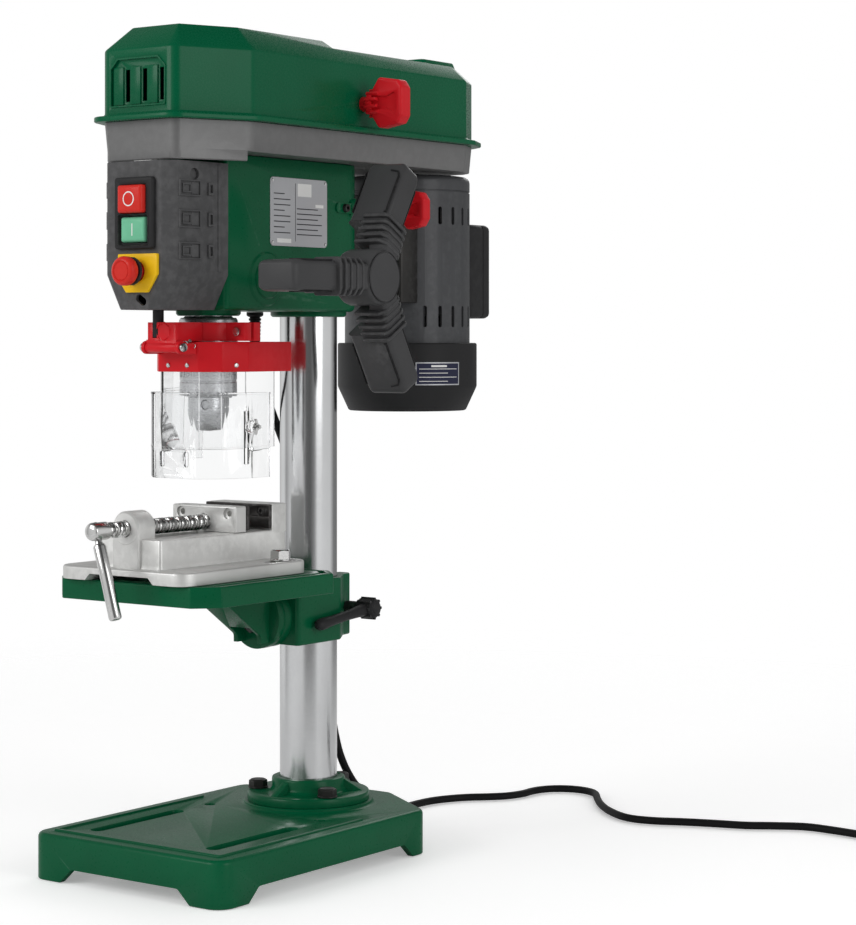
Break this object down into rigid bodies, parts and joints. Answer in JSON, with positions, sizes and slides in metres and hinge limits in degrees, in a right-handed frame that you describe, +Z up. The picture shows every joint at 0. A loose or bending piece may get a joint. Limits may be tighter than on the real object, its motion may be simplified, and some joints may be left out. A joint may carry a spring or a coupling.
{
  "type": "benchtop drill press",
  "caption": "Green benchtop drill press with a belt housing, a guarded chuck, a tilting table and a bolted drill vise.",
  "frame": {"origin": "centre of the machine's footprint box at bench level, without the mains lead", "axes": "+Z up, the operator stands on the -Y side, the feed handle is on the +X side"},
  "size_m": [0.5794, 0.6032, 0.641],
  "materials": {
    "green_paint": "semi-gloss",
    "lid_paint": "gloss",
    "grey_sheet": "satin",
    "grey_plastic": "matte",
    "black_plastic": "matte",
    "motor_paint": "satin",
    "red_plastic": "gloss",
    "mint_plastic": "gloss",
    "bright_steel": "brushed",
    "dark_steel": "blackened",
    "chrome": "polished",
    "cast_alloy": "cast",
    "clear_plastic": "clear",
    "belt_rubber": "matte",
    "cord_rubber": "satin"
  },
  "bodies": {
    "machine": {"base_plate": "green_paint", "column_flange": "green_paint", "flange_bolt_1": "dark_steel", "flange_bolt_2": "dark_steel", "flange_bolt_3": "dark_steel", "column": "bright_steel", "head_casting": "green_paint", "head_lock_screw": "dark_steel", "front_housing": "grey_plastic", "switch_bezel": "black_plastic", "belt_pan": "grey_sheet", "lid_hinge_pin": "bright_steel", "return_spring_cap": "black_plastic", "drive_belt": "belt_rubber", "cord_gland": "cord_rubber", "mains_cord": "cord_rubber", "cord_coil": "cord_rubber", "mains_plug": "black_plastic"},
    "table_support": {"table_bracket": "green_paint"},
    "clamp_lever": {"table_clamp_lever": "black_plastic"},
    "table": {"drill_table": "green_paint", "tilt_bolt": "dark_steel", "vise_body": "cast_alloy", "vise_fixed_jaw_plate": "dark_steel", "vise_bolt_left": "chrome", "vise_bolt_right": "chrome"},
    "vise_jaw": {"vise_moving_jaw": "cast_alloy", "vise_moving_jaw_plate": "dark_steel"},
    "vise_spindle": {"vise_screw": "chrome", "vise_handle": "chrome"},
    "quill_body": {"quill": "bright_steel", "quill_bearing_lower": "chrome", "quill_bearing_upper": "chrome", "depth_rod": "black_plastic", "guard_clamp": "red_plastic", "guard_hinge_pin": "chrome"},
    "spindle_body": {"spindle": "bright_steel", "chuck_body": "chrome"},
    "sleeve_body": {"chuck_sleeve": "chrome"},
    "jaw_body_1": {"chuck_jaw_1": "bright_steel"},
    "jaw_body_2": {"chuck_jaw_2": "bright_steel"},
    "jaw_body_3": {"chuck_jaw_3": "bright_steel"},
    "pulley_body": {"spindle_pulley": "cast_alloy"},
    "feed_body": {"feed_pinion_shaft": "bright_steel", "feed_handle": "black_plastic"},
    "guard_body": {"guard_frame": "red_plastic", "inner_shield": "clear_plastic"},
    "outer_guard_body": {"outer_shield": "clear_plastic"},
    "motor_body": {"motor_housing": "motor_paint", "motor_fan_cover": "black_plastic", "motor_terminal_box": "black_plastic", "motor_saddle": "motor_paint"},
    "rotor_body": {"motor_rotor": "dark_steel", "motor_pulley": "cast_alloy"},
    "lid_body": {"belt_lid": "lid_paint"},
    "lid_knob_body": {"lid_knob": "red_plastic"},
    "lock_knob_body": {"motor_lock_knob": "red_plastic"},
    "stop_body": {"stop_button": "red_plastic"},
    "start_body": {"start_button": "mint_plastic"},
    "estop_body": {"estop_button": "red_plastic"}
  },
  "joints": [
    {"name": "table_height", "type": "slide", "parent": "machine", "child": "table_support", "axis": [0, 0, -1], "range_m": [-0.015, 0.1]},
    {"name": "table_clamp", "type": "hinge", "parent": "table_support", "child": "clamp_lever", "pos_m": [-0.027, 0.05, 0.19], "axis": [1, 0, 0], "range_deg": [-60, 15]},
    {"name": "table_tilt", "type": "hinge", "parent": "table_support", "child": "table", "pos_m": [-0.027, -0.0325, 0.1886], "axis": [0, 1, 0], "range_deg": [-45, 45]},
    {"name": "vise_jaw_travel", "type": "slide", "parent": "table", "child": "vise_jaw", "axis": [0, 1, 0], "range_m": [-0.0355, 0.018]},
    {"name": "vise_screw_turn", "type": "hinge", "parent": "vise_jaw", "child": "vise_spindle", "pos_m": [-0.027, -0.1725, 0.2679], "axis": [0, 1, 0], "range_deg": [-3600, 1800]},
    {"name": "quill_travel", "type": "slide", "parent": "machine", "child": "quill_body", "axis": [0, 0, -1], "range_m": [0, 0.05], "stiffness_N_per_m": 300, "springref_m": -0.2},
    {"name": "feed_turn", "type": "hinge", "parent": "machine", "child": "feed_body", "pos_m": [-0.027, -0.0785, 0.453], "axis": [1, 0, 0], "range_deg": [0, 290]},
    {"name": "rotor_spin", "type": "hinge", "parent": "motor_body", "child": "rotor_body", "pos_m": [-0.027, 0.1515, 0.48], "axis": [0, 0, -1], "continuous": true},
    {"name": "pulley_spin", "type": "hinge", "parent": "machine", "child": "pulley_body", "pos_m": [-0.027, -0.1045, 0.58], "axis": [0, 0, -1], "continuous": true},
    {"name": "spindle_spin", "type": "hinge", "parent": "quill_body", "child": "spindle_body", "pos_m": [-0.027, -0.1045, 0.42], "axis": [0, 0, -1], "continuous": true},
    {"name": "chuck_sleeve_turn", "type": "hinge", "parent": "spindle_body", "child": "sleeve_body", "pos_m": [-0.027, -0.1045, 0.38], "axis": [0, 0, 1], "range_deg": [0, 1080]},
    {"name": "chuck_jaw_travel_1", "type": "slide", "parent": "spindle_body", "child": "jaw_body_1", "axis": [-0.2672, 0, -0.9636], "range_m": [0, 0.0062]},
    {"name": "chuck_jaw_travel_2", "type": "slide", "parent": "spindle_body", "child": "jaw_body_2", "axis": [0.1336, -0.2314, -0.9636], "range_m": [0, 0.0062]},
    {"name": "chuck_jaw_travel_3", "type": "slide", "parent": "spindle_body", "child": "jaw_body_3", "axis": [0.1336, 0.2314, -0.9636], "range_m": [0, 0.0062]},
    {"name": "guard_flip", "type": "hinge", "parent": "quill_body", "child": "guard_body", "pos_m": [-0.027, -0.1555, 0.401], "axis": [-1, 0, 0], "range_deg": [0, 95]},
    {"name": "outer_shield_travel", "type": "slide", "parent": "guard_body", "child": "outer_guard_body", "axis": [0, 0, 1], "range_m": [0, 0.03]},
    {"name": "motor_tension", "type": "slide", "parent": "machine", "child": "motor_body", "axis": [0, 1, 0], "range_m": [-0.01, 0]},
    {"name": "lid_open", "type": "hinge", "parent": "machine", "child": "lid_body", "pos_m": [-0.1, 0.0175, 0.571], "axis": [0, -1, 0], "range_deg": [0, 100]},
    {"name": "lid_knob_turn", "type": "hinge", "parent": "lid_body", "child": "lid_knob_body", "pos_m": [0.035, 0.0095, 0.592], "axis": [1, 0, 0], "range_deg": [-360, 360]},
    {"name": "motor_lock_turn", "type": "hinge", "parent": "machine", "child": "lock_knob_body", "pos_m": [0.017, 0.0695, 0.5115], "axis": [1, 0, 0], "range_deg": [-360, 360]},
    {"name": "stop_press", "type": "slide", "parent": "machine", "child": "stop_body", "axis": [0, 1, 0], "range_m": [0, 0.003], "stiffness_N_per_m": 800},
    {"name": "start_press", "type": "slide", "parent": "machine", "child": "start_body", "axis": [0, 1, 0], "range_m": [0, 0.003], "stiffness_N_per_m": 800},
    {"name": "estop_press", "type": "slide", "parent": "machine", "child": "estop_body", "axis": [0, 1, 0], "range_m": [0, 0.0035], "stiffness_N_per_m": 800}
  ],
  "couplings": [
    {"joint": "vise_jaw_travel", "follows": "vise_screw_turn", "m_per_rad": 0.000557},
    {"joint": "feed_turn", "follows": "quill_travel", "rad_per_m": 100},
    {"joint": "outer_shield_travel", "follows": "quill_travel", "ratio": 0.5},
    {"joint": "pulley_spin", "follows": "rotor_spin", "ratio": 1},
    {"joint": "spindle_spin", "follows": "rotor_spin", "ratio": 1},
    {"joint": "chuck_jaw_travel_1", "follows": "chuck_sleeve_turn", "m_per_rad": 0.000318},
    {"joint": "chuck_jaw_travel_2", "follows": "chuck_sleeve_turn", "m_per_rad": 0.000318},
    {"joint": "chuck_jaw_travel_3", "follows": "chuck_sleeve_turn", "m_per_rad": 0.000318}
  ]
}
